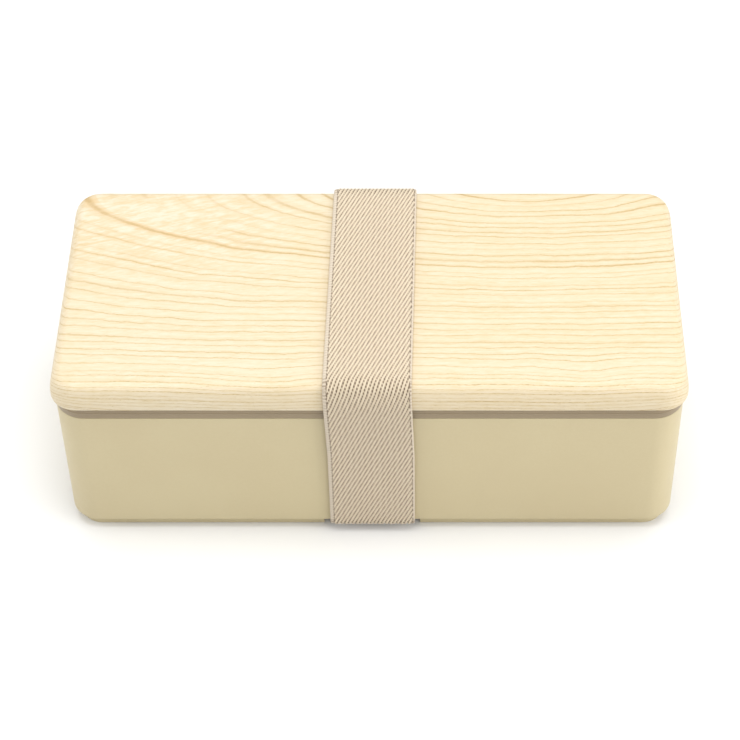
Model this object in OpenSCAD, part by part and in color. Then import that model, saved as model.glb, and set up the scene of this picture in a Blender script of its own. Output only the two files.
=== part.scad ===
// Single-tier lunch box: a rounded container, a sealing inner lid with its ring, a hollow
// wood-look outer lid, two sliding dividers and a sewn elastic band.
// Millimetres. +Z up, +X along the box, origin on the table under the middle of the box.

/* [Outline] */
// Length of the outer lid, the widest piece
box_w = 210; // [180:1:240]
// Depth of the outer lid, front to back
box_d = 98.5; // [85:0.5:120]
// Height of the box from the table to the top of the outer lid, without the band
box_h = 71; // [68:0.5:90]

/* [Container] */
// Height of the foot under the floor
foot_h = 4.8; // [4:0.1:6]
// How far the foot stands in from the outer lid's outline
foot_inset = 4; // [3:0.1:6]
// Thickness of the foot's wall
foot_wall = 2; // [1.5:0.1:3]
// Thickness of the container's floor
floor_t = 2; // [1.5:0.1:3]
// Inset of the container's wall at the shoulder
wall_top_inset = 1.1; // [0.9:0.05:1.2]
// Inset of the container's wall at the foot
wall_foot_inset = 1.45; // [1.2:0.05:2]
// Fillet along the container's bottom edge, outside
outer_fillet = 0.6; // [0.4:0.1:1.5]
// Fillet between the floor and the wall, inside
inner_fillet = 4; // [2:0.5:5]

/* [Lids] */
// Height of the outer lid
lid_h = 9.4; // [8.5:0.1:11]
// Corner radius of the outer lid, seen from above
lid_corner = 9.5; // [8:0.5:12]
// Radius of the outer lid's top edge
lid_edge_r = 3.5; // [2.5:0.1:4]
// Radius of the swell down the outer lid's side
lid_side_r = 16; // [14:1:24]
// Wall and top thickness of the outer lid
lid_t = 2.5; // [2:0.1:3]
// Height of the inner lid's visible rim
rim_h = 4.7; // [4.2:0.1:5.2]
// Inset of the inner lid's rim from the outer lid's outline
rim_inset = 1.05; // [0.9:0.05:1.15]

/* [Dividers] */
// Thickness of a divider's plate
divider_t = 1.6; // [1.2:0.1:2.5]
// Distance of each divider from the middle of the box
divider_x = 33; // [28:1:40]
// Width of a divider's base
divider_base_w = 12; // [8:1:16]

/* [Band] */
// Width of the elastic webbing
band_w = 29; // [20:0.1:35]
// Thickness of the elastic webbing
band_t = 1.6; // [1:0.1:1.6]
// Length of the sewn lap under the box
lap_len = 36; // [24:1:50]
// Stitches in each sewn row
stitch_count = 9; // [5:1:11]

/* [Hidden] */
$fn = 64;

// Corner centres of the container and inner lid lie this far inside the outer lid's outline
body_corner = 11.3;
// Parting gap between pieces that rest on each other
parting = 0.1;
// Running gap between pieces that slide past each other
slip = 0.3;
// Straight steps in each small arc of an outline
arc_steps = 8;

floor_top = foot_h + floor_t;
lid_z = box_h - lid_h;
rim_top = lid_z - parting;
rim_z = rim_top - rim_h;
shoulder_z = rim_z - parting;

// The container's lip stands inside the inner lid's channel
lip_outer_inset = 2.1;
lip_inner_inset = 3.15;
lip_h = 2.9;
lip_top = shoulder_z + lip_h;
// The container's inner wall leans in by this much from the lip to the floor
inner_draft = 0.3;
inner_foot_inset = lip_inner_inset + inner_draft;

// The inner lid: a skirt outside the lip, a plug inside it and a sunken panel
skirt_inner_inset = lip_outer_inset - slip;
plug_outer_inset = lip_inner_inset + slip;
plug_wall = 1.2;
plug_inner_inset = plug_outer_inset + plug_wall;
web_t = 0.9;
web_z = rim_top - web_t;
panel_t = 1.5;
// The panel's underside hangs this far below the rim
panel_drop = 1.6;
panel_z = rim_z - panel_drop;
panel_top = panel_z + panel_t;
panel_fillet = 1;
plug_lead = 0.6;
bead_outer_inset = 2.85;
bead_inner_inset = 3.9;
bead_h = 1.8;
bead_lead = 0.3;
// A fine raised line runs round the middle of the rim
line_h = 0.5;
line_proud = 0.12;
rim_round = 0.3;

// The seal sits in the channel, over the container's lip
seal_side = 0.1;
seal_bulge_r = 0.35;
seal_gap = 0.05;

// The outer lid's side stands upright at its foot, then swells into the edge arc
lid_upright_h = 1;
lid_side_z = lid_z + lid_upright_h;
lid_edge_z = box_h - lid_edge_r;
lid_side_angle = asin((lid_edge_z - lid_side_z) / (lid_side_r - lid_edge_r));
lid_edge_inset = lid_side_r - (lid_side_r - lid_edge_r) * cos(lid_side_angle);
lid_inner_fillet = 2;
// The outer lid's inner wall leans in by this much towards its top
lid_inner_lean = 1;

foot_round = 0.5;
// Room on each side of the band where it crosses the foot
notch_side = 2.1;
notch_w = band_w + 2 * notch_side;
// Cutting solids reach this far past the surface that they cut
cut_past = 1;

divider_z = floor_top + parting;
// Room between a divider and the inner lid above it, the walls beside it and the inner fillet
divider_top_gap = 2.5;
divider_side_gap = 0.5;
divider_corner_gap = 0.6;
divider_top = panel_z - divider_top_gap;
divider_half = box_d / 2 - inner_foot_inset - divider_side_gap;
divider_corner = inner_fillet + divider_corner_gap;
divider_base_t = 1.2;
divider_base_half = box_d / 2 - inner_foot_inset - inner_fillet - slip;
divider_dip_r = 60;
divider_dip = 4;
divider_edge_r = 3;

stitch_d = 0.5;
stitch_len = 2;
stitch_inset = 3;
// The lap is sewn with a double row near each of its ends
row_edge = 3;
row_gap = 3;
lap_rows = [
    -lap_len / 2 + row_edge,
    -lap_len / 2 + row_edge + row_gap,
    lap_len / 2 - row_edge - row_gap,
    lap_len / 2 - row_edge
];
// Underside of the lap, below the band's own run
lap_z = foot_h - slip - 2 * band_t;

// Points along an arc, from angle a0 to angle a1
function arc(cx, cy, r, a0, a1, steps = arc_steps) = [
    for (i = [0:steps])
        let (a = a0 + (a1 - a0) * i / steps)
            [cx + r * cos(a), cy + r * sin(a)]
];

// The same points on the other side of the box, in the opposite order
function mirrored(points) = [
    for (i = [len(points) - 1:-1:0])
        [-points[i][0], points[i][1]]
];

// Sweeps a cross-section round the box: its x is the distance out from a corner's centre,
// its y is the height, and corner is how far that centre lies inside the lid's outline
module swept(corner) {
    half_x = box_w / 2 - corner;
    half_y = box_d / 2 - corner;
    for (side = [0, 1])
        mirror([0, side, 0])
            translate([-half_x, half_y, 0])
                rotate([90, 0, 90])
                    linear_extrude(2 * half_x)
                        children();
    for (side = [0, 1])
        mirror([side, 0, 0])
            translate([half_x, half_y, 0])
                rotate([90, 0, 0])
                    linear_extrude(2 * half_y)
                        children();
    for (side_x = [0, 1])
        for (side_y = [0, 1])
            mirror([side_x, 0, 0])
                mirror([0, side_y, 0])
                    translate([half_x, half_y, 0])
                        rotate_extrude(angle = 90)
                            children();
}

// The flat middle of a swept piece, between the four corner centres
module core(corner, z, thickness) {
    half_x = box_w / 2 - corner;
    half_y = box_d / 2 - corner;
    translate([-half_x, -half_y, z])
        cube([2 * half_x, 2 * half_y, thickness]);
}

module container_section() {
    wall_x = body_corner - wall_foot_inset;
    inner_x = body_corner - inner_foot_inset;
    polygon(concat(
        [[0, foot_h]],
        arc(wall_x - outer_fillet, foot_h + outer_fillet, outer_fillet, -90, 0),
        [
            [body_corner - wall_top_inset, shoulder_z],
            [body_corner - lip_outer_inset, shoulder_z],
            [body_corner - lip_outer_inset, lip_top],
            [body_corner - lip_inner_inset, lip_top]
        ],
        arc(inner_x - inner_fillet, floor_top + inner_fillet, inner_fillet, 0, -90),
        [[0, floor_top]]
    ));
}

module foot_section() {
    outer_x = body_corner - foot_inset;
    inner_x = outer_x - foot_wall;
    polygon(concat(
        [[inner_x, foot_h]],
        arc(inner_x + foot_round, foot_round, foot_round, 180, 270),
        arc(outer_x - foot_round, foot_round, foot_round, 270, 360),
        [[outer_x, foot_h]]
    ));
}

module container() {
    color([0.82, 0.76, 0.63])
        union() {
            swept(body_corner)
                container_section();
            core(body_corner, foot_h, floor_t);
            difference() {
                swept(body_corner)
                    foot_section();
                translate([-notch_w / 2, -box_d / 2, -cut_past])
                    cube([notch_w, box_d, foot_h + cut_past]);
            }
        }
}

module outer_lid_section() {
    inner_x = lid_corner - lid_t;
    underside = box_h - lid_t;
    polygon(concat(
        [[inner_x, lid_z], [lid_corner, lid_z]],
        arc(lid_corner - lid_side_r, lid_side_z, lid_side_r, 0, lid_side_angle),
        arc(lid_corner - lid_edge_inset, lid_edge_z, lid_edge_r, lid_side_angle, 90),
        [[0, box_h], [0, underside]],
        arc(
            inner_x - lid_inner_fillet - lid_inner_lean,
            underside - lid_inner_fillet,
            lid_inner_fillet,
            90,
            0
        ),
        [[inner_x, lid_side_z]]
    ));
}

module outer_lid() {
    color([0.96, 0.9, 0.75])
        union() {
            swept(lid_corner)
                outer_lid_section();
            core(lid_corner, box_h - lid_t, lid_t);
        }
}

module inner_lid_section() {
    rim_x = body_corner - rim_inset;
    skirt_x = body_corner - skirt_inner_inset;
    plug_out_x = body_corner - plug_outer_inset;
    plug_in_x = body_corner - plug_inner_inset;
    bead_out_x = body_corner - bead_outer_inset;
    bead_in_x = body_corner - bead_inner_inset;
    line_z = rim_z + rim_h / 2;
    polygon(concat(
        [
            [skirt_x, rim_z],
            [rim_x, rim_z],
            [rim_x, line_z - line_h / 2],
            [rim_x + line_proud, line_z],
            [rim_x, line_z + line_h / 2]
        ],
        arc(rim_x - rim_round, rim_top - rim_round, rim_round, 0, 90),
        [
            [bead_out_x, rim_top],
            [bead_out_x, rim_top + bead_h - bead_lead],
            [bead_out_x - bead_lead, rim_top + bead_h],
            [bead_in_x + bead_lead, rim_top + bead_h],
            [bead_in_x, rim_top + bead_h - bead_lead],
            [bead_in_x, rim_top],
            [plug_in_x, rim_top]
        ],
        arc(plug_in_x - panel_fillet, panel_top + panel_fillet, panel_fillet, 0, -90),
        [
            [0, panel_top],
            [0, panel_z],
            [plug_out_x - plug_lead, panel_z],
            [plug_out_x, panel_z + plug_lead],
            [plug_out_x, web_z],
            [skirt_x, web_z]
        ]
    ));
}

module inner_lid() {
    color([0.6, 0.53, 0.44])
        union() {
            swept(body_corner)
                inner_lid_section();
            core(body_corner, panel_z, panel_t);
        }
}

module seal_section() {
    outer_x = body_corner - skirt_inner_inset - seal_side;
    inner_x = body_corner - plug_outer_inset + seal_side;
    bulge_z = lip_top + seal_gap + seal_bulge_r;
    polygon(concat(
        [[outer_x, web_z], [inner_x, web_z], [inner_x, bulge_z]],
        arc((outer_x + inner_x) / 2, bulge_z, seal_bulge_r, 180, 360),
        [[outer_x, bulge_z]]
    ));
}

module seal_ring() {
    color([0.93, 0.92, 0.88])
        swept(body_corner)
            seal_section();
}

// A plate across the container on a flat base, with a shallow dip for a finger
module divider(x) {
    color([0.87, 0.83, 0.73])
        translate([x, 0, 0])
            union() {
                translate([-divider_t / 2, 0, 0])
                    rotate([90, 0, 90])
                        linear_extrude(divider_t)
                            difference() {
                                divider_outline();
                                translate([0, divider_top - divider_dip + divider_dip_r])
                                    circle(divider_dip_r);
                            }
                translate([-divider_base_w / 2, -divider_base_half, divider_z])
                    cube([divider_base_w, 2 * divider_base_half, divider_base_t]);
            }
}

module divider_outline() {
    half = concat(
        arc(divider_half - divider_corner, divider_z + divider_corner, divider_corner, -90, 0),
        arc(divider_half - divider_edge_r, divider_top - divider_edge_r, divider_edge_r, 0, 90)
    );
    polygon(concat(half, mirrored(half)));
}

module divider_left() {
    divider(-divider_x);
}

module divider_right() {
    divider(divider_x);
}

// The closed line that the stretched band follows round the box, in the YZ plane,
// a distance away from the lid's top, the lid's sides and the container's bottom edge
function band_path(away) =
    let (
        half_y = box_d / 2,
        low_y = half_y - wall_foot_inset - outer_fillet,
        half = concat(
            arc(low_y, foot_h + outer_fillet, outer_fillet + away, -90, 0),
            arc(half_y - lid_side_r, lid_side_z, lid_side_r + away, 0, lid_side_angle),
            arc(half_y - lid_edge_inset, lid_edge_z, lid_edge_r + away, lid_side_angle, 90)
        )
    )
    concat(half, mirrored(half));

module band_webbing() {
    color([0.78, 0.71, 0.61])
        union() {
            translate([-band_w / 2, 0, 0])
                rotate([90, 0, 90])
                    linear_extrude(band_w)
                        difference() {
                            polygon(band_path(slip + band_t));
                            polygon(band_path(slip));
                        }
            translate([-band_w / 2, -lap_len / 2, lap_z])
                cube([band_w, lap_len, band_t]);
        }
}

module band_stitching() {
    pitch = (band_w - 2 * stitch_inset) / (stitch_count - 1);
    color([0.7, 0.63, 0.53])
        for (row_y = lap_rows)
            for (i = [0:stitch_count - 1])
                translate([-band_w / 2 + stitch_inset + i * pitch - stitch_len / 2, row_y, lap_z])
                    rotate([0, 90, 0])
                        cylinder(h = stitch_len, d = stitch_d);
}

container();
outer_lid();
inner_lid();
seal_ring();
divider_left();
divider_right();
band_webbing();
band_stitching();
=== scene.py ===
"""Looks for the lunch box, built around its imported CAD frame.

Lengths are in millimetres until a mesh is made. Lights and the camera are placed in metres.
"""
import math

import bpy
import numpy as np
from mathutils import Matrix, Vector


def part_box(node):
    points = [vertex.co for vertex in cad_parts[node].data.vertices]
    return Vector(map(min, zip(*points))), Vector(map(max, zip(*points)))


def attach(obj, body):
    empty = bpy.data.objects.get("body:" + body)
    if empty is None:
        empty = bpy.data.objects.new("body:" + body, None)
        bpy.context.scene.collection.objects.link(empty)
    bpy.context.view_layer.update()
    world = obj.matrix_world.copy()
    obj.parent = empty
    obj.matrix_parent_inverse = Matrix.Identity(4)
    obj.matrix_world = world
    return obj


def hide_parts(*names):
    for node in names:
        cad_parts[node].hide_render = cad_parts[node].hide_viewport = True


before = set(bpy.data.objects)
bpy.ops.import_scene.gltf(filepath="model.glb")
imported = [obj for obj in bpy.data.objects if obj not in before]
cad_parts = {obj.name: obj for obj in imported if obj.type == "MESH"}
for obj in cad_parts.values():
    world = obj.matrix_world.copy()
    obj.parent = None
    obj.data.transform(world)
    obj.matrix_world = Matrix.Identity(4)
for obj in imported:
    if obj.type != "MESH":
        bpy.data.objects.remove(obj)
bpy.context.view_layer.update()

MM = 0.001


def cad_box(node):
    """Lowest and highest corner of a CAD node, in millimetres."""
    low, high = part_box(node)
    return [c / MM for c in low], [c / MM for c in high]


# Sizes read from the frame
LID_LOW, LID_HIGH = cad_box("outer_lid")
INNER_LOW, INNER_HIGH = cad_box("inner_lid")
BOX_HIGH = cad_box("container")[1]
SEAL_LOW, SEAL_HIGH = cad_box("seal_ring")
BAND_HIGH = cad_box("band_webbing")[1]
STITCH_LOW, STITCH_HIGH = cad_box("band_stitching")

HALF_X = LID_HIGH[0]
HALF_Y = LID_HIGH[1]
LID_TOP = LID_HIGH[2]
LID_Z = LID_LOW[2]
LIP_TOP = BOX_HIGH[2]
PANEL_Z = INNER_LOW[2]
HALF_BAND = BAND_HIGH[0]

# Sizes that the design sets, as insets from the outer lid's outline or as heights
PARTING = 0.1
BODY_CORNER = 11.3
LID_CORNER = 9.5
RIM_TOP = LID_Z - PARTING
RIM_H = 4.7
RIM_Z = RIM_TOP - RIM_H
SHOULDER_Z = RIM_Z - PARTING
FOOT_H = 4.8
WALL_TOP_INSET = 1.1
WALL_FOOT_INSET = 1.45
WALL_FILLET = 0.6
FOOT_INSET = 4.0
FOOT_WALL = 2.0
LIP_OUT_INSET = 2.1
LIP_IN_INSET = 3.15
INNER_FOOT_INSET = 3.45
RIM_INSET = 1.05
SKIRT_INSET = 1.8
PLUG_OUT_INSET = 3.45
PLUG_IN_INSET = 4.65
BEAD_OUT_INSET = 2.85
BEAD_IN_INSET = 3.9
INNER_FILLET = 4.0
FLOOR_T = 2.0
FLOOR_TOP = FOOT_H + FLOOR_T
PANEL_T = 1.5
WEB_T = 0.9
LID_T = 2.5
LID_EDGE_R = 3.5
LID_SIDE_R = 16.0
LID_SIDE_Z = LID_Z + 1.0
BAND_GAP = 0.3
BAND_T = 1.6
NOTCH_SIDE = 2.1
CAP_REACH = 0.5


# ---------------------------------------------------------------- outlines

def arc(cx, cz, radius, start, end, steps):
    """Points along an arc, from one angle to another, in degrees."""
    angles = np.radians(np.linspace(start, end, steps + 1))
    return [(cx + radius * math.cos(a), cz + radius * math.sin(a)) for a in angles]


def rounded(corners, steps=5, closed=False):
    """An outline whose corners (x, z, radius) are turned into arcs that meet both sides smoothly."""
    points = []
    count = len(corners)
    for i, (x, z, radius) in enumerate(corners):
        at_end = not closed and i in (0, count - 1)
        if radius <= 0 or at_end:
            points.append((x, z))
            continue
        here = np.array([x, z])
        before = np.array(corners[i - 1][:2]) - here
        after = np.array(corners[(i + 1) % count][:2]) - here
        before /= np.linalg.norm(before)
        after /= np.linalg.norm(after)
        half = math.acos(max(-1.0, min(1.0, float(before @ after)))) / 2
        middle = (before + after) / np.linalg.norm(before + after)
        centre = here + middle * radius / math.sin(half)
        first = here + before * radius / math.tan(half) - centre
        last = here + after * radius / math.tan(half) - centre
        turn = math.acos(max(-1.0, min(1.0, float(first @ last) / radius**2)))
        for k in range(steps + 1):
            share = k / steps
            spoke = (math.sin((1 - share) * turn) * first + math.sin(share * turn) * last) / math.sin(turn)
            points.append(tuple(centre + spoke))
    return points


def stations(corner, side_step=2.5, corner_steps=14):
    """Places round the box: (x, y) of the corner-centre rectangle and the outward normal, for a full loop."""
    cx = HALF_X - corner
    cy = HALF_Y - corner
    places = []
    sides = [
        ((cx, -cy), (cx, cy), 0),
        ((cx, cy), (-cx, cy), 90),
        ((-cx, cy), (-cx, -cy), 180),
        ((-cx, -cy), (cx, -cy), 270),
    ]
    for start, end, facing in sides:
        length = math.dist(start, end)
        pieces = max(1, round(length / side_step))
        normal = (math.cos(math.radians(facing)), math.sin(math.radians(facing)))
        for k in range(pieces):
            share = k / pieces
            places.append((
                start[0] + (end[0] - start[0]) * share,
                start[1] + (end[1] - start[1]) * share,
                *normal,
            ))
        for k in range(corner_steps):
            angle = math.radians(facing + 90 * k / corner_steps)
            places.append((*end, math.cos(angle), math.sin(angle)))
    return np.array(places)


# ---------------------------------------------------------------- meshes

def make_object(name, points, faces, sharp_angle=32):
    """A smooth-shaded mesh object from points in millimetres."""
    mesh = bpy.data.meshes.new(name)
    mesh.from_pydata([tuple(p) for p in np.asarray(points) * MM], [], faces)
    mesh.validate()
    mesh.shade_smooth()
    mesh.set_sharp_from_angle(angle=math.radians(sharp_angle))
    obj = bpy.data.objects.new(name, mesh)
    bpy.context.scene.collection.objects.link(obj)
    return obj


def grid_faces(rows, columns, wrap_rows, wrap_columns):
    """Quads of a rows by columns grid of points."""
    faces = []
    for r in range(rows if wrap_rows else rows - 1):
        for c in range(columns if wrap_columns else columns - 1):
            r2 = (r + 1) % rows
            c2 = (c + 1) % columns
            faces.append((r * columns + c, r * columns + c2, r2 * columns + c2, r2 * columns + c))
    return faces


def swept_points(section, places):
    """The section's points at each place: section x is the distance out, section z the height."""
    section = np.asarray(section)
    out = section[:, 0][:, None]
    x = places[:, 0] + out * places[:, 2]
    y = places[:, 1] + out * places[:, 3]
    z = np.repeat(section[:, 1][:, None], len(places), axis=1)
    return np.stack([x, y, z], axis=-1)


def swept(section, corner, closed, side_step=2.5):
    """Points and faces of a section swept round the box. Flat caps close an open section's ends."""
    places = stations(corner, side_step)
    grid = swept_points(section, places)
    rows, columns = grid.shape[:2]
    faces = grid_faces(rows, columns, closed, True)
    if not closed:
        faces.append(tuple(range(columns))[::-1])
        faces.append(tuple((rows - 1) * columns + c for c in range(columns)))
    return grid, faces


def joined(parts):
    """Several (points, faces) pairs as one."""
    points, faces, start = [], [], 0
    for part_points, part_faces in parts:
        flat = np.asarray(part_points).reshape(-1, 3)
        points.append(flat)
        faces.extend(tuple(i + start for i in face) for face in part_faces)
        start += len(flat)
    return np.concatenate(points), faces


# ---------------------------------------------------------------- pieces

def container_mesh():
    """The container: a drafted wall, a stepped lip, soft inner fillets and an interrupted foot."""
    c = BODY_CORNER
    section = rounded([
        (CAP_REACH, FOOT_H, 0),
        (c - WALL_FOOT_INSET, FOOT_H, WALL_FILLET),
        (c - WALL_TOP_INSET, SHOULDER_Z, 0.25),
        (c - LIP_OUT_INSET, SHOULDER_Z, 0.15),
        (c - LIP_OUT_INSET, LIP_TOP, 0.35),
        (c - LIP_IN_INSET, LIP_TOP, 0.35),
        (c - INNER_FOOT_INSET, FLOOR_TOP, INNER_FILLET),
        (CAP_REACH, FLOOR_TOP, 0),
    ], steps=8)
    body = swept(section, c, closed=False)
    return joined([body, *foot_halves()])


def foot_halves():
    """The foot's two halves, each running from notch to notch round one end of the box."""
    outer = BODY_CORNER - FOOT_INSET
    inner = outer - FOOT_WALL
    sink = 0.4
    section = rounded([
        (inner, FOOT_H + sink, 0),
        (inner, 0, 0.5),
        (outer, 0, 0.5),
        (outer, FOOT_H + sink, 0),
    ], steps=4, closed=True)
    places = stations(BODY_CORNER)
    notch = HALF_BAND + NOTCH_SIDE
    halves = []
    for sign in (1, -1):
        kept = places[places[:, 0] * sign > notch]
        start = np.argmax(np.linalg.norm(np.diff(kept[:, :2], axis=0, append=kept[:1, :2]), axis=1)) + 1
        kept = np.roll(kept, -start, axis=0)
        first, last = kept[0].copy(), kept[-1].copy()
        first[0] = last[0] = sign * notch
        run = np.vstack([first, kept, last])
        grid = swept_points(section, run)
        rows, columns = grid.shape[:2]
        faces = grid_faces(rows, columns, True, False)
        faces.append(tuple(r * columns for r in range(rows)))
        faces.append(tuple(r * columns + columns - 1 for r in range(rows))[::-1])
        halves.append((grid, faces))
    return halves


def outer_lid_mesh():
    """The outer lid: a hollow cap with a swelling side, whose film ends in a faintly wavy line."""
    c = LID_CORNER
    edge_z = LID_TOP - LID_EDGE_R
    reach = LID_SIDE_R - LID_EDGE_R
    angle = math.degrees(math.asin((edge_z - LID_SIDE_Z) / reach))
    inset = LID_SIDE_R - reach * math.cos(math.radians(angle))
    underside = LID_TOP - LID_T
    inside = rounded([
        (CAP_REACH, underside, 0),
        (c - LID_T - 1.0, underside, 2.0),
        (c - LID_T, LID_SIDE_Z, 0.5),
        (c - LID_T, LID_Z, 0.2),
        (c, LID_Z, 0.35),
        (c, LID_SIDE_Z, 0),
    ])
    outside = arc(c - LID_SIDE_R, LID_SIDE_Z, LID_SIDE_R, 0, angle, 8)[1:]
    outside += arc(c - inset, edge_z, LID_EDGE_R, angle, 90, 14)[1:]
    outside.append((CAP_REACH, LID_TOP))
    section = inside + outside
    grid, faces = swept(section, c, closed=False, side_step=1.2)
    return wavy_edge(grid), faces


def wavy_edge(grid):
    """Lifts the lid's lower outer edge by up to a fifth of a millimetre, unevenly, as trimmed film does."""
    reach = 0.9
    height = 0.2
    x, y, z = grid[..., 0], grid[..., 1], grid[..., 2]
    along = np.arctan2(y, x)
    wave = (
        0.5 * np.sin(x / 13.0 + 0.7)
        + 0.3 * np.sin(x / 5.3 + y / 9.0)
        + 0.2 * np.sin(11 * along + 1.3)
    )
    near_edge = np.clip(1 - (z - LID_Z) / reach, 0, 1) ** 2
    outside = np.clip((np.maximum(np.abs(x) - HALF_X, np.abs(y) - HALF_Y) + 0.8) / 0.8, 0, 1)
    lifted = grid.copy()
    lifted[..., 2] += height * (0.5 + 0.5 * wave) * near_edge * outside
    return lifted


def inner_lid_mesh():
    """The inner lid: a rim with a fine raised line, a locating bead, a plug wall and a sunken panel."""
    c = BODY_CORNER
    rim = c - RIM_INSET
    skirt = c - SKIRT_INSET
    plug_out = c - PLUG_OUT_INSET
    plug_in = c - PLUG_IN_INSET
    line_z = (RIM_Z + RIM_TOP) / 2
    web_z = RIM_TOP - WEB_T
    panel_top = PANEL_Z + PANEL_T
    section = rounded([
        (CAP_REACH, PANEL_Z, 0),
        (plug_out, PANEL_Z, 0.6),
        (plug_out, web_z, 0.15),
        (skirt, web_z, 0.15),
        (skirt, RIM_Z, 0.2),
        (rim, RIM_Z, 0.25),
        (rim, line_z - 0.35, 0.1),
        (rim + 0.12, line_z - 0.1, 0.06),
        (rim + 0.12, line_z + 0.1, 0.06),
        (rim, line_z + 0.35, 0.1),
        (rim, RIM_TOP, 0.35),
        (c - BEAD_OUT_INSET, RIM_TOP, 0.1),
        (c - BEAD_OUT_INSET, INNER_HIGH[2], 0.3),
        (c - BEAD_IN_INSET, INNER_HIGH[2], 0.3),
        (c - BEAD_IN_INSET, RIM_TOP, 0.1),
        (plug_in, RIM_TOP, 0.1),
        (plug_in, panel_top, 1.0),
        (CAP_REACH, panel_top, 0),
    ])
    return swept(section, c, closed=False)


def seal_mesh():
    """The seal ring: a soft strip with a rounded bulge that rests over the container's lip."""
    side_gap = 0.1
    outer = BODY_CORNER - SKIRT_INSET - side_gap
    inner = BODY_CORNER - PLUG_OUT_INSET + side_gap
    section = rounded([
        (inner, SEAL_HIGH[2], 0.1),
        (inner, SEAL_LOW[2] + 0.35, 0.2),
        (inner + 0.35, SEAL_LOW[2], 0.25),
        (outer - 0.35, SEAL_LOW[2], 0.25),
        (outer, SEAL_LOW[2] + 0.35, 0.2),
        (outer, SEAL_HIGH[2], 0.1),
    ], steps=3, closed=True)
    return swept(section, BODY_CORNER, closed=True)


def divider_mesh(node):
    """A plate on a flat base, with soft edges and a shallow dip along its top for a finger."""
    low, high = cad_box(node)
    middle = (low[0] + high[0]) / 2
    half = high[1]
    corner = 4.6
    plate_t = 1.6
    base_t = 1.2
    dip_depth = 4.0
    shoulder_r = 3.0
    side = arc(half - corner, low[2] + corner, corner, -90, 0, 10)
    shoulder = arc(half - shoulder_r, high[2] - shoulder_r, shoulder_r, 0, 90, 8)
    dip_half = 21.5
    dip = [
        (dip_half * math.cos(a), high[2] - dip_depth * math.sin(a) ** 2)
        for a in np.linspace(0, math.pi, 25)
    ]
    outline = side + shoulder + dip + [(-y, z) for y, z in (side + shoulder)[::-1]]
    plate = prism(outline, middle - plate_t / 2, middle + plate_t / 2, 0.35)
    base_half_y = half - corner - 0.2
    base_half_x = (high[0] - low[0]) / 2
    base = rounded([
        (-base_half_x, low[2], 0.3),
        (base_half_x, low[2], 0.3),
        (base_half_x, low[2] + base_t, 0.5),
        (1.6, low[2] + base_t, 0),
        (0.8, low[2] + 2.0, 0),
        (-0.8, low[2] + 2.0, 0),
        (-1.6, low[2] + base_t, 0),
        (-base_half_x, low[2] + base_t, 0.5),
    ], steps=3, closed=True)
    turned = [(x + middle, z) for x, z in base]
    points, faces = prism(turned, -base_half_y, base_half_y, 0.3)
    return joined([plate, (points[:, [1, 0, 2]], [f[::-1] for f in faces])])


def prism(outline, start, end, soft):
    """An outline of (y, z) points drawn out along X, with its two end edges rounded."""
    flat = np.array(outline)
    centre = flat.mean(axis=0)
    turn = np.linspace(0, math.pi / 2, 4)
    rings = [(start + soft * (1 - math.sin(t)), soft * (1 - math.sin(math.pi / 2 - t))) for t in turn]
    rings += [(end - (x - start), inset) for x, inset in rings[::-1]]
    edges = np.roll(flat, -1, axis=0) - np.roll(flat, 1, axis=0)
    normals = np.stack([edges[:, 1], -edges[:, 0]], axis=1)
    normals /= np.maximum(np.linalg.norm(normals, axis=1, keepdims=True), 1e-9)
    outward = np.sum(normals * (flat - centre), axis=1).sum()
    normals *= 1 if outward > 0 else -1
    grid = []
    for x, inset in rings:
        ring = flat - normals * inset
        grid.append(np.column_stack([np.full(len(ring), x), ring]))
    grid = np.array(grid)
    rows, columns = grid.shape[:2]
    faces = grid_faces(rows, columns, False, True)
    faces.append(tuple(range(columns))[::-1])
    faces.append(tuple((rows - 1) * columns + k for k in range(columns)))
    return grid.reshape(-1, 3), faces


# ---------------------------------------------------------------- band

# Pitches of the weave, across the band (X) and along it: ribs, columns and rows
RIB_X = 1.28
RIB_ALONG = 2.95
COLUMN_X = 1.93
ROW_ALONG = 1.05
EDGE_ROUND = 1.2
ROW_EDGE = 3.0
LEFT_SELVEDGE = 1.35
RIGHT_SELVEDGE = 0.55


def band_path(away):
    """The line that the stretched band follows in the YZ plane, a distance away from lid and container."""
    edge_z = LID_TOP - LID_EDGE_R
    reach = LID_SIDE_R - LID_EDGE_R
    angle = math.degrees(math.asin((edge_z - LID_SIDE_Z) / reach))
    inset = LID_SIDE_R - reach * math.cos(math.radians(angle))
    low_y = HALF_Y - WALL_FOOT_INSET - WALL_FILLET
    half = arc(low_y, FOOT_H + WALL_FILLET, WALL_FILLET + away, -90, -1, 14)
    half += arc(HALF_Y - LID_SIDE_R, LID_SIDE_Z, LID_SIDE_R + away, 0, angle, 8)
    half += arc(HALF_Y - inset, edge_z, LID_EDGE_R + away, angle, 90, 20)
    return half + [(-y, z) for y, z in half[::-1]]


def walk(path, step):
    """Even steps along a closed path: their y and z, outward normals and distances, and the path's length."""
    points = np.array(path + path[:1])
    lengths = np.linalg.norm(np.diff(points, axis=0), axis=1)
    total = lengths.sum()
    at = np.concatenate([[0], np.cumsum(lengths)])
    count = round(total / step)
    want = np.arange(count) * total / count
    y = np.interp(want, at, points[:, 0])
    z = np.interp(want, at, points[:, 1])
    dy = np.roll(y, -1) - np.roll(y, 1)
    dz = np.roll(z, -1) - np.roll(z, 1)
    size = np.hypot(dy, dz)
    return y, z, dz / size, -dy / size, want, total


def band_lean(y, z):
    """How far the band lies to one side: on the lid it leans right at the back and left at the front."""
    on_top = np.clip((z - 40.0) / 30.0, 0, 1)
    across = np.clip(y / HALF_Y, -1, 1)
    return (0.15 + 0.75 * across) * on_top + 0.3 * (1 - on_top)


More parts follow.
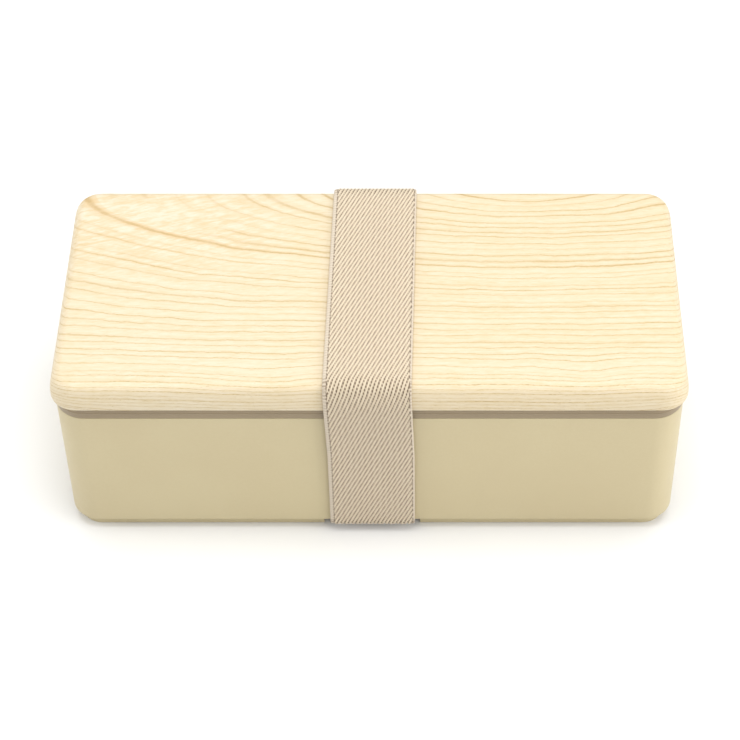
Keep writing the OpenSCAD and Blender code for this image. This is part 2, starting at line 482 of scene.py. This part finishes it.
def smooth(low, high, value):
    """A smooth step from 0, at low, to 1, at high."""
    share = np.clip((value - low) / (high - low), 0, 1)
    return share * share * (3 - 2 * share)


def weave(u, v, half, bend):
    """Relief of the elastic from 0, in a gap, to 1, on a rib, at u across and v along the band. The webbing's
    colour darkens where it is low, as painted shade, and most where the band bends.
    """
    drift = 0.10 * np.sin(v / 23.0) + 0.06 * np.sin(v / 7.1 + u / 5.0)
    rib = 2 * np.pi * ((u + drift) / RIB_X + v / RIB_ALONG)
    ridge = (0.5 + 0.5 * np.cos(rib)) ** (0.36 + 0.2 * bend)
    pinch = 0.5 + 0.5 * np.cos(2 * np.pi * u / COLUMN_X)
    row = 0.5 + 0.5 * np.cos(2 * np.pi * (v / ROW_ALONG - u / COLUMN_X))
    gap = (1 - ridge) * (0.12 + 0.22 * pinch + 1.0 * row) * (1 + 0.2 * bend)
    body = 1 - gap - 0.3 * (1 - row) * ridge
    left = 1 - smooth(-half + LEFT_SELVEDGE - 0.2, -half + LEFT_SELVEDGE + 0.15, u)
    right = smooth(half - RIGHT_SELVEDGE - 0.15, half - RIGHT_SELVEDGE + 0.1, u)
    edge = np.maximum(left, right)
    loops = 0.72 + 0.12 * np.cos(2 * np.pi * v / 1.15) + 0.08 * np.cos(2 * np.pi * v / 0.62 + 1.0)
    loops = loops - 0.5 * bend * (0.5 + 0.5 * np.cos(2 * np.pi * v / 0.9 + u))
    left_groove = np.exp(-(((u + half - LEFT_SELVEDGE) / 0.16) ** 2))
    right_groove = np.exp(-(((u - half + RIGHT_SELVEDGE + 0.15) / 0.15) ** 2))
    relief = body * (1 - edge) + loops * edge
    relief = relief - 0.7 * left_groove * (0.55 + 0.45 * np.cos(2 * np.pi * v / 1.5))
    relief = relief - 0.6 * right_groove * (0.5 + 0.5 * np.cos(2 * np.pi * v / 2.3))
    return np.clip(relief, 0, 1), edge


def bend_along(ny, nz):
    """How sharply the band bends at each step, from 0 on the straight to 1 round the tightest edge."""
    turn = np.abs(np.roll(ny, -3) * np.roll(nz, 3) - np.roll(nz, -3) * np.roll(ny, 3))
    window = np.hanning(25)
    soft = np.convolve(np.concatenate([turn[-12:], turn, turn[:12]]), window / window.sum(), "valid")
    return soft / soft.max()


def band_mesh():
    """The elastic webbing: a closed loop round the box and its sewn lap, with their length laid flat."""
    step_v = 0.26
    y, z, ny, nz, v, total = walk(band_path(BAND_GAP), step_v)
    loop = webbing(y, z, ny, nz, v, bend_along(ny, nz), closed=True)

    lap_half = (STITCH_HIGH[1] - STITCH_LOW[1]) / 2 + ROW_EDGE
    lap_y = np.linspace(-lap_half, lap_half, round(2 * lap_half / step_v))
    level = np.zeros(len(lap_y))
    under = FOOT_H - BAND_GAP - BAND_T
    lap = webbing(lap_y, level + under, level, level - 1, lap_y + total, level, closed=False)
    values = {name: np.concatenate([loop[2][name].ravel(), lap[2][name].ravel()]) for name in loop[2]}
    return (*joined([loop[:2], lap[:2]]), values, total + 2 * lap_half)


def webbing(y, z, ny, nz, v, bend, closed):
    """A run of webbing on a path, with its relief on the side that the normals point to."""
    half = HALF_BAND
    middle = BAND_T / 2
    relief_h = 0.5
    step_u = 0.16

    # Across the outer face from edge to edge, then back across the inner one
    flat = half - EDGE_ROUND
    turn = np.linspace(0, math.pi / 2, 8)[1:]
    outer_core = np.linspace(-flat, flat, round(2 * flat / step_u))
    inner_core = np.linspace(-flat, flat, 9)
    edge_u = flat + EDGE_ROUND * np.sin(turn)
    outer_u = np.concatenate([-edge_u[::-1], outer_core, edge_u])
    outer_full = np.concatenate([np.cos(turn)[::-1], np.ones(len(outer_core)), np.cos(turn)])
    inner_u = np.concatenate([edge_u[:-1][::-1], inner_core[::-1], -edge_u[:-1]])
    inner_full = np.concatenate([np.cos(turn)[:-1][::-1], np.ones(len(inner_core)), np.cos(turn)[:-1]])

    relief, edge = weave(outer_u[None, :], v[:, None], half, bend[:, None])
    outer = middle + outer_full * (middle - relief_h * (1 - relief) - 0.1 * edge)
    inner = np.broadcast_to(middle - inner_full * (middle - 0.05), (len(v), len(inner_u)))
    height = np.concatenate([outer, inner], axis=1)
    across = np.concatenate([outer_u, inner_u])
    grid = np.stack([
        across[None, :] + band_lean(y, z)[:, None],
        y[:, None] + ny[:, None] * height,
        z[:, None] + nz[:, None] * height,
    ], axis=-1)
    rows, columns = grid.shape[:2]
    faces = grid_faces(rows, columns, closed, True)
    if not closed:
        faces.append(tuple(range(columns))[::-1])
        faces.append(tuple((rows - 1) * columns + c for c in range(columns)))
    inner_shape = (rows, len(inner_u))
    return grid, faces, {
        "relief": np.concatenate([relief, np.full(inner_shape, 0.75)], axis=1),
        "edge": np.concatenate([np.broadcast_to(edge, relief.shape), np.ones(inner_shape)], axis=1),
        "across": np.broadcast_to(across[None, :], (rows, columns)),
        "along": np.broadcast_to(v[:, None], (rows, columns)),
    }


def add_attributes(obj, values):
    """Stores one number per point under each name, for the materials to read."""
    for name, numbers in values.items():
        layer = obj.data.attributes.new(name, "FLOAT", "POINT")
        layer.data.foreach_set("value", np.ascontiguousarray(numbers, np.float32).ravel())


# ---------------------------------------------------------------- materials

def linear(r, g, b):
    """A colour given as 0 to 255 screen values, in the linear light that shaders use."""
    def one(c):
        c /= 255
        return c / 12.92 if c <= 0.04045 else ((c + 0.055) / 1.055) ** 2.4
    return (one(r), one(g), one(b), 1.0)


TOP_LIGHT = 1.61


def as_lit(r, g, b):
    """The surface colour that shows as these screen values where it lies level under the studio light."""
    return tuple(c / TOP_LIGHT for c in linear(r, g, b)[:3]) + (1.0,)


class Finish:
    """A material under construction: a Principled shader and short calls that add nodes to it."""

    def __init__(self, name, **settings):
        self.material = bpy.data.materials.new(name)
        self.material.use_nodes = True
        self.tree = self.material.node_tree
        self.tree.nodes.clear()
        self.shader = self.tree.nodes.new("ShaderNodeBsdfPrincipled")
        output = self.tree.nodes.new("ShaderNodeOutputMaterial")
        self.tree.links.new(self.shader.outputs[0], output.inputs["Surface"])
        for socket, value in settings.items():
            self.shader.inputs[socket.replace("_", " ")].default_value = value

    def feed(self, socket, value):
        """Puts a number, a tuple or another node's output into a socket."""
        if isinstance(value, bpy.types.NodeSocket):
            self.tree.links.new(value, socket)
        else:
            socket.default_value = value

    def set(self, name, value):
        self.feed(self.shader.inputs[name], value)

    def node(self, kind, inputs=(), **settings):
        made = self.tree.nodes.new(kind)
        for name, value in settings.items():
            setattr(made, name, value)
        for name, value in dict(inputs).items():
            self.feed(made.inputs[name], value)
        return made

    def math(self, operation, a, b=0.0, c=0.0, clamp=False):
        made = self.node("ShaderNodeMath", operation=operation, use_clamp=clamp)
        for socket, value in zip(made.inputs, (a, b, c)):
            self.feed(socket, value)
        return made.outputs[0]

    def position(self):
        """The point's place in the row frame, in millimetres: the vector and its three parts."""
        place = self.node("ShaderNodeTexCoord").outputs["Object"]
        scaled = self.node("ShaderNodeVectorMath", {0: place}, operation="SCALE")
        scaled.inputs["Scale"].default_value = 1 / MM
        parts = self.node("ShaderNodeSeparateXYZ", {0: scaled.outputs[0]})
        return scaled.outputs[0], parts.outputs

    def vector(self, x, y, z):
        return self.node("ShaderNodeCombineXYZ", {0: x, 1: y, 2: z}).outputs[0]

    def stretched(self, vector, scale):
        made = self.node("ShaderNodeVectorMath", {0: vector}, operation="MULTIPLY")
        made.inputs[1].default_value = scale
        return made.outputs[0]

    def noise(self, vector, scale=1.0, detail=2.0, roughness=0.5, distortion=0.0):
        made = self.node("ShaderNodeTexNoise", {
            "Vector": vector, "Scale": scale, "Detail": detail,
            "Roughness": roughness, "Distortion": distortion,
        })
        return made.outputs["Fac"]

    def remap(self, value, low, high, to_low=0.0, to_high=1.0, smooth_step=True):
        made = self.node("ShaderNodeMapRange", {
            "Value": value, "From Min": low, "From Max": high, "To Min": to_low, "To Max": to_high,
        })
        made.interpolation_type = "SMOOTHSTEP" if smooth_step else "LINEAR"
        return made.outputs["Result"]

    def mix(self, share, a, b, blend="MIX"):
        made = self.node("ShaderNodeMix", data_type="RGBA", blend_type=blend, clamp_factor=True)
        self.feed(made.inputs[0], share)
        self.feed(made.inputs[6], a)
        self.feed(made.inputs[7], b)
        return made.outputs[2]

    def attribute(self, name):
        return self.node("ShaderNodeAttribute", attribute_name=name).outputs["Fac"]

    def bump(self, height, distance, strength=1.0):
        made = self.node("ShaderNodeBump", {"Height": height, "Distance": distance, "Strength": strength})
        self.set("Normal", made.outputs[0])


def plastic(name, colour, shade, roughness, grain=0.00002):
    """Satin moulded plastic: a faint mottle in the colour, an uneven gloss and a fine moulded texture."""
    f = Finish(name, Roughness=roughness)
    f.shader.inputs["Specular IOR Level"].default_value = 0.45
    place, _ = f.position()
    cloud = f.noise(place, 0.02, 3.0)
    fine = f.noise(place, 0.9, 4.0, 0.6)
    tone = f.math("ADD", f.math("MULTIPLY", cloud, 0.7), f.math("MULTIPLY", fine, 0.3))
    f.set("Base Color", f.mix(f.remap(tone, 0.35, 0.65), colour, shade))
    f.set("Roughness", f.remap(f.noise(place, 0.12, 4.0, 0.6), 0.3, 0.7, roughness - 0.02, roughness + 0.03))
    f.bump(f.noise(place, 2.2, 3.0, 0.55), grain, 0.5)
    return f.material


def wood_film():
    """Pale ash: rings round a heart near the lid's back edge, cut so that they sweep across in arcs."""
    f = Finish("ash_film", Roughness=0.5)
    f.shader.inputs["Specular IOR Level"].default_value = 0.35
    place, parts = f.position()
    x, y, z = parts[0], parts[1], parts[2]
    figure = f.math("MULTIPLY", f.remap(x, -58.0, -12.0, 1.0, 0.0), f.remap(y, -6.0, 26.0))
    on_side = f.remap(z, LID_TOP - 5.0, LID_TOP - 0.3, 1.0, 0.0)
    core, halo, clear = ring_lines(f, place, ring_count(f, place, x, y, z), figure, quiet_patch(f, x, y))

    # Fibres, ray flecks and pores, all drawn out along the grain
    slanted = f.vector(x, f.math("MULTIPLY_ADD", x, -0.3, y), z)
    fibres = f.noise(f.stretched(place, (0.11, 1.25, 1.25)), 1.0, 2.5, 0.7)
    hairs = f.noise(f.stretched(place, (0.3, 2.3, 2.3)), 1.0, 2.0, 0.7)
    flecks = f.noise(f.stretched(slanted, (0.2, 0.95, 0.95)), 1.0, 2.0, 0.6)
    clouds = f.noise(f.stretched(place, (0.012, 0.05, 0.05)), 1.0, 2.0)
    dash = f.noise(f.stretched(place, (0.8, 3.0, 3.0)), 1.0, 2.0, 0.6)
    rough = f.math("MAXIMUM", on_side, f.remap(y, -36.0, -45.0, 0.0, 0.8))
    pores = f.math("MULTIPLY", f.remap(dash, 0.48, 0.56), f.math("MULTIPLY_ADD", rough, 0.6, 0.4))
    pores = f.math("MULTIPLY", pores, core)
    stray = f.math("MULTIPLY", f.remap(dash, 0.66, 0.76), f.math("MULTIPLY_ADD", rough, 0.5, 0.15))

    yellower = f.math("MULTIPLY_ADD", f.remap(clouds, 0.3, 0.7), 0.5, f.remap(x, -40.0, 70.0, 0.0, 0.5))
    base = f.mix(yellower, as_lit(259, 243, 210), as_lit(258, 237, 197))
    base = f.mix(f.remap(fibres, 0.4, 0.72, 0.0, 0.55), base, as_lit(250, 229, 183))
    base = f.mix(f.remap(fibres, 0.46, 0.28, 0.0, 0.4), base, as_lit(264, 251, 225))
    base = f.mix(f.remap(hairs, 0.5, 0.72, 0.0, 0.5), base, as_lit(243, 218, 170))
    base = f.mix(f.remap(hairs, 0.48, 0.3, 0.0, 0.4), base, as_lit(264, 252, 228))
    base = f.mix(f.math("MULTIPLY", clear, 0.3), base, as_lit(264, 250, 222))
    white = f.math("MULTIPLY", f.remap(flecks, 0.5, 0.66), f.math("MULTIPLY_ADD", figure, 0.6, 0.12))
    tan = f.math("MULTIPLY", f.remap(flecks, 0.52, 0.34), f.math("MULTIPLY_ADD", figure, 0.65, 0.1))
    base = f.mix(white, base, as_lit(266, 252, 228))
    base = f.mix(tan, base, as_lit(250, 226, 180))
    base = f.mix(halo, base, f.mix(figure, as_lit(247, 224, 174), as_lit(248, 216, 163)))
    base = f.mix(core, base, as_lit(224, 190, 130))
    base = f.mix(pores, base, as_lit(190, 158, 108))
    base = f.mix(stray, base, as_lit(214, 186, 138))
    f.set("Base Color", base)
    f.set("Roughness", f.math("MULTIPLY_ADD", pores, 0.2, f.remap(fibres, 0.3, 0.7, 0.46, 0.56)))
    height = f.math("MULTIPLY_ADD", f.math("MAXIMUM", pores, stray), -1.0, f.math("MULTIPLY", fibres, 0.3))
    f.bump(height, 0.00006, 0.5)
    return f.material


def ring_lines(f, place, count, figure, quiet):
    """How strongly a point shows its ring's dark core, the tan beside it and the clear wood after."""
    row = 0.3
    ring = f.math("FLOOR", count)
    share = f.math("FRACT", count)
    strength = f.node("ShaderNodeTexWhiteNoise", {"W": ring}, noise_dimensions="1D").outputs["Value"]
    waver = f.noise(f.stretched(place, (0.04, 0.3, 0.3)), 1.0, 2.0)
    steady = f.math("MULTIPLY_ADD", strength, 0.5, 0.55)
    choosy = f.math("MULTIPLY_ADD", f.math("POWER", strength, 3.0), 0.7, 0.2)
    vivid = f.math("ADD", steady, f.math("MULTIPLY", figure, f.math("SUBTRACT", choosy, steady)))
    vivid = f.math("MULTIPLY", vivid, f.remap(waver, 0.25, 0.75, 0.6, 1.2))
    vivid = f.math("MULTIPLY", vivid, quiet)
    core_width = f.math("MULTIPLY_ADD", strength, 0.05, 0.09)
    off_row = f.math("ABSOLUTE", f.math("SUBTRACT", share, row))
    core = f.remap(f.math("DIVIDE", off_row, core_width), 1.0, 0.1)
    core = f.math("MULTIPLY", core, f.math("MULTIPLY", vivid, 0.7), clamp=True)
    before = f.remap(share, f.math("MULTIPLY", figure, -0.25), row)
    after = f.remap(share, f.math("MULTIPLY_ADD", figure, 0.2, 0.62), row)
    halo = f.math("MULTIPLY", f.math("MULTIPLY", before, after), f.math("MULTIPLY_ADD", figure, 0.5, 0.36))
    halo = f.math("MULTIPLY", halo, vivid, clamp=True)
    clear = f.math("MULTIPLY", f.remap(share, 0.66, 0.9), f.remap(share, 1.0, 0.97))
    return core, halo, clear


def quiet_patch(f, x, y):
    """One, falling to almost nothing over a broad ring near the back left where no lines run."""
    middle_x, middle_y = -72.0, 35.0
    slope = -0.3
    along = f.math("DIVIDE", f.math("SUBTRACT", x, middle_x), 24.0)
    level = f.math("MULTIPLY_ADD", f.math("SUBTRACT", x, middle_x), -slope, f.math("SUBTRACT", y, middle_y))
    over = f.math("DIVIDE", level, 7.5)
    far = f.math("ADD", f.math("MULTIPLY", along, along), f.math("MULTIPLY", over, over))
    return f.remap(far, 0.5, 1.3, 0.06, 1.0)


def ring_count(f, place, x, y, z):
    """Which growth ring a point of the film lies on, as a number that grows by one from ring to ring."""
    heart_y = 49.1
    heart_x = 54.7
    lean = 0.258
    shallow = 4.0
    pitch = 2.75
    front_lean = 0.4
    front_wrap = 1.7
    back_wrap = 1.0
    end_wrap = 1.5
    fall = f.math("SUBTRACT", LID_TOP, z)

    # The film turns down over the edges and carries the rings with it
    near_side = f.math("POWER", f.math("ABSOLUTE", f.math("DIVIDE", y, HALF_Y)), 6.0)
    near_end = f.math("POWER", f.math("ABSOLUTE", f.math("DIVIDE", x, HALF_X)), 12.0)
    outward = f.remap(y, -10.0, 10.0, -front_wrap, back_wrap)
    turned = f.math("MULTIPLY", fall, f.math("MULTIPLY", near_side, outward))
    bent = f.math("MULTIPLY", fall, f.math("MULTIPLY", near_end, -end_wrap))
    film_y = f.math("ADD", y, f.math("ADD", turned, bent))

    # Slow swings, small wobbles and two knots' dips
    slow = f.math("SUBTRACT", f.noise(f.stretched(place, (0.014, 0.02, 0.02)), 1.0, 1.0), 0.5)
    wobble = f.math("SUBTRACT", f.noise(f.stretched(place, (0.05, 0.07, 0.07)), 1.0, 2.0), 0.5)
    tiny = f.math("SUBTRACT", f.noise(f.stretched(place, (0.3, 0.25, 0.25)), 1.0, 2.0, 0.6), 0.5)
    film_y = f.math("MULTIPLY_ADD", slow, 3.5, film_y)
    film_y = f.math("MULTIPLY_ADD", wobble, 2.4, film_y)
    film_y = f.math("MULTIPLY_ADD", tiny, 0.8, film_y)
    for dip_x, dip_y in ((-33.0, -42.0), (69.0, -41.0)):
        over = f.math("DIVIDE", f.math("SUBTRACT", x, dip_x), 13.0)
        up = f.math("DIVIDE", f.math("SUBTRACT", y, dip_y), 9.0)
        far = f.math("ADD", f.math("MULTIPLY", over, over), f.math("MULTIPLY", up, up))
        film_y = f.math("MULTIPLY_ADD", f.math("EXPONENT", f.math("MULTIPLY", far, -1.0)), 2.2, film_y)

    # Distance from the heart of the log
    leaning = f.remap(y, -HALF_Y, 15.0, lean * front_lean, lean)
    across = f.math("MULTIPLY", f.math("SUBTRACT", x, heart_x), leaning)
    depth = f.math("MULTIPLY_ADD", across, across, shallow * shallow)
    off = f.math("SUBTRACT", heart_y, film_y)
    radius = f.math("SQRT", f.math("MULTIPLY_ADD", off, off, depth))
    count = f.math("DIVIDE", radius, pitch)
    uneven = f.node("ShaderNodeTexNoise", {"W": count, "Scale": 0.8, "Detail": 1.0}, noise_dimensions="1D")
    return f.math("MULTIPLY_ADD", uneven.outputs["Fac"], 1.0, count)


def elastic():
    """Greige webbing: pale floats, hollows between the ribs darkened with painted shade, and a plainer grey
    selvedge whose grooves also carry painted shade.
    """
    f = Finish("elastic_webbing", Roughness=0.85)
    f.shader.inputs["Specular IOR Level"].default_value = 0.2
    f.shader.inputs["Sheen Weight"].default_value = 0.25
    f.shader.inputs["Sheen Roughness"].default_value = 0.5
    relief = f.attribute("relief")
    edge = f.attribute("edge")
    across = f.attribute("across")
    along = f.attribute("along")
    flat = f.vector(across, along, 0.0)
    yarn = f.noise(f.stretched(flat, (1.6, 0.5, 1.0)), 1.0, 3.0, 0.6)
    fuzz = f.noise(f.stretched(flat, (7.0, 7.0, 1.0)), 1.0, 3.0, 0.65)
    floats = f.mix(f.remap(yarn, 0.35, 0.65), linear(209, 194, 170), linear(200, 183, 157))
    # Painted shade: the hollows between the ribs take a dark colour that stands in for the shade falling in
    # them
    gaps_painted_shade = f.mix(f.remap(yarn, 0.35, 0.65), linear(104, 86, 63), linear(84, 68, 47))
    ribs = f.mix(f.remap(relief, 0.25, 0.85), gaps_painted_shade, floats)
    # Painted shade: the selvedge's own grey darkens where its relief is low, in its grooves and between its
    # loops
    selvedge = f.mix(f.remap(relief, 0.3, 0.8), linear(140, 124, 104), linear(200, 187, 168))
    colour = f.mix(edge, ribs, selvedge)
    colour = f.mix(f.remap(fuzz, 0.35, 0.7, 0.0, 0.22), colour, linear(214, 203, 187))
    f.set("Base Color", colour)
    rib = f.math("ADD", f.math("DIVIDE", across, RIB_X), f.math("DIVIDE", along, RIB_ALONG))
    strand_pitch = 0.5
    twist = f.math("MULTIPLY_ADD", along, 1 / strand_pitch, f.math("MULTIPLY", rib, 0.7))
    strands = f.math("MULTIPLY_ADD", f.math("SINE", f.math("MULTIPLY", twist, 2 * math.pi)), 0.5, 0.5)
    f.bump(f.math("ADD", f.math("MULTIPLY", strands, 0.5), fuzz), 0.00007, 0.7)
    return f.material


def thread():
    """Matt sewing thread with a fine twist."""
    f = Finish("sewing_thread", Roughness=0.8)
    place, _ = f.position()
    twist = f.noise(f.stretched(place, (9.0, 3.0, 3.0)), 1.0, 2.0)
    f.set("Base Color", f.mix(twist, linear(196, 178, 150), linear(224, 208, 182)))
    f.bump(twist, 0.00005, 0.8)
    return f.material


def silicone():
    """Milky silicone with a soft, slightly tacky gloss."""
    f = Finish("milky_silicone", Roughness=0.4)
    f.shader.inputs["Subsurface Weight"].default_value = 0.25
    f.shader.inputs["Subsurface Radius"].default_value = (0.002, 0.002, 0.0018)
    f.shader.inputs["Subsurface Scale"].default_value = 0.5
    place, _ = f.position()
    cloud = f.noise(place, 0.4, 3.0)
    f.set("Base Color", f.mix(cloud, linear(238, 235, 226), linear(226, 222, 211)))
    f.bump(f.noise(place, 3.0, 2.0), 0.00002, 0.4)
    return f.material


def stitches_mesh():
    """Short rounded stitches in two double rows across the lap, each sunk into the webbing at both ends."""
    count = 9
    length = 2.0
    radius = 0.25
    row_gap = 3.0
    first = STITCH_LOW[1] + radius
    last = STITCH_HIGH[1] - radius
    rows = [first, first + row_gap, last - row_gap, last]
    z = (STITCH_LOW[2] + STITCH_HIGH[2]) / 2
    pitch = (STITCH_HIGH[0] - STITCH_LOW[0] - length) / (count - 1)
    ring = np.radians(np.arange(0, 360, 45))
    parts = []
    for y in rows:
        for i in range(count):
            x0 = STITCH_LOW[0] + i * pitch
            spine = np.linspace(0, 1, 9)
            grid = []
            for s in spine:
                thick = 0.26 * math.sin(math.pi * (0.08 + 0.84 * s)) ** 0.35
                lift = 0.22 * (2 * s - 1) ** 4
                grid.append([
                    (x0 + length * s, y + thick * math.cos(a), z + lift + thick * math.sin(a))
                    for a in ring
                ])
            grid = np.array(grid)
            faces = grid_faces(len(spine), len(ring), False, True)
            faces.append(tuple(range(len(ring)))[::-1])
            faces.append(tuple((len(spine) - 1) * len(ring) + k for k in range(len(ring))))
            parts.append((grid, faces))
    return joined(parts)


# ---------------------------------------------------------------- assembly

def place_piece(name, mesh, finish, body, nodes, sharp_angle=32):
    """Makes a piece, gives it its material and ties it to the CAD body and nodes that it stands for."""
    points, faces = mesh[:2]
    obj = make_object(name, np.asarray(points).reshape(-1, 3), faces, sharp_angle)
    obj.data.materials.append(finish)
    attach(obj, body)
    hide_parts(*nodes)
    return obj


def build_pieces():
    cream = plastic("cream_plastic", linear(192, 179, 143), linear(189, 175, 139), 0.42)
    taupe = plastic("taupe_plastic", linear(142, 126, 100), linear(137, 121, 95), 0.38)
    pale = plastic("pale_plastic", linear(240, 232, 212), linear(235, 226, 205), 0.4)
    place_piece("container_shell", container_mesh(), cream, "container", ["container"])
    place_piece("wood_lid", outer_lid_mesh(), wood_film(), "outer_lid", ["outer_lid"])
    place_piece("sealing_lid", inner_lid_mesh(), taupe, "inner_lid", ["inner_lid"])
    place_piece("lid_seal", seal_mesh(), silicone(), "inner_lid", ["seal_ring"])
    for side in ("left", "right"):
        node = "divider_" + side
        place_piece("partition_" + side, divider_mesh(node), pale, node, [node])
    points, faces, values, flat_length = band_mesh()
    webbing_mesh = (points, faces)
    band = place_piece(
        "elastic_band", webbing_mesh, elastic(), "band", ["band_webbing"], sharp_angle=180
    )
    add_attributes(band, values)
    sewing = place_piece("lap_stitches", stitches_mesh(), thread(), "band", ["band_stitching"])


def studio():
    """A pale floor, with soft light from above, from both sides and from the front right."""
    size = 6.0
    mesh = bpy.data.meshes.new("floor")
    corners = [(-size, -size, 0), (size, -size, 0), (size, size, 0), (-size, size, 0)]
    mesh.from_pydata(corners, [], [(0, 1, 2, 3)])
    floor = bpy.data.objects.new("floor", mesh)
    bpy.context.scene.collection.objects.link(floor)
    paper = Finish("paper", Roughness=0.9)
    paper.shader.inputs["Specular IOR Level"].default_value = 0.1
    paper.set("Base Color", (0.8, 0.8, 0.79, 1))
    floor.data.materials.append(paper.material)

    world = bpy.data.worlds.new("studio")
    bpy.context.scene.world = world
    world.use_nodes = True
    background = world.node_tree.nodes["Background"]
    background.inputs["Color"].default_value = (1.0, 1.0, 1.0, 1)
    background.inputs["Strength"].default_value = 0.5

    aim = (0, 0, 0.05)

    def soft_box(name, place, width, power):
        light = bpy.data.lights.new(name, "AREA")
        light.shape = "SQUARE"
        light.size = width
        light.energy = power
        lamp = bpy.data.objects.new(name, light)
        lamp.location = place
        direction = np.array(aim) - np.array(place)
        lamp.rotation_mode = "QUATERNION"
        lamp.rotation_quaternion = Vector(direction).to_track_quat("-Z", "Y")
        bpy.context.scene.collection.objects.link(lamp)

    soft_box("overhead", (0.02, 0.1, 1.25), 1.2, 15.2)
    soft_box("right", (0.85, -0.32, 0.43), 0.6, 4.8)
    soft_box("left", (-0.85, -0.15, 0.43), 0.6, 3.0)
    soft_box("front", (0.5, -1.0, 0.8), 0.7, 2.7)


def camera():
    """The camera: above the front, looking down at about 46 degrees, a little right of the box's middle."""
    pitch = math.radians(46.41)
    lens_px = 2311.5
    frame_px = 740
    data = bpy.data.cameras.new("camera")
    data.sensor_width = 36.0
    data.lens = data.sensor_width * lens_px / frame_px
    data.shift_x = -54.2 / frame_px
    data.clip_start = 0.05
    cam = bpy.data.objects.new("camera", data)
    cam.location = (0.01802, -0.55994, 0.61753)
    cam.rotation_euler = (math.pi / 2 - pitch, 0, 0)
    bpy.context.scene.collection.objects.link(cam)
    bpy.context.scene.camera = cam


camera()
studio()
build_pieces()
bpy.context.scene.view_settings.view_transform = "Standard"
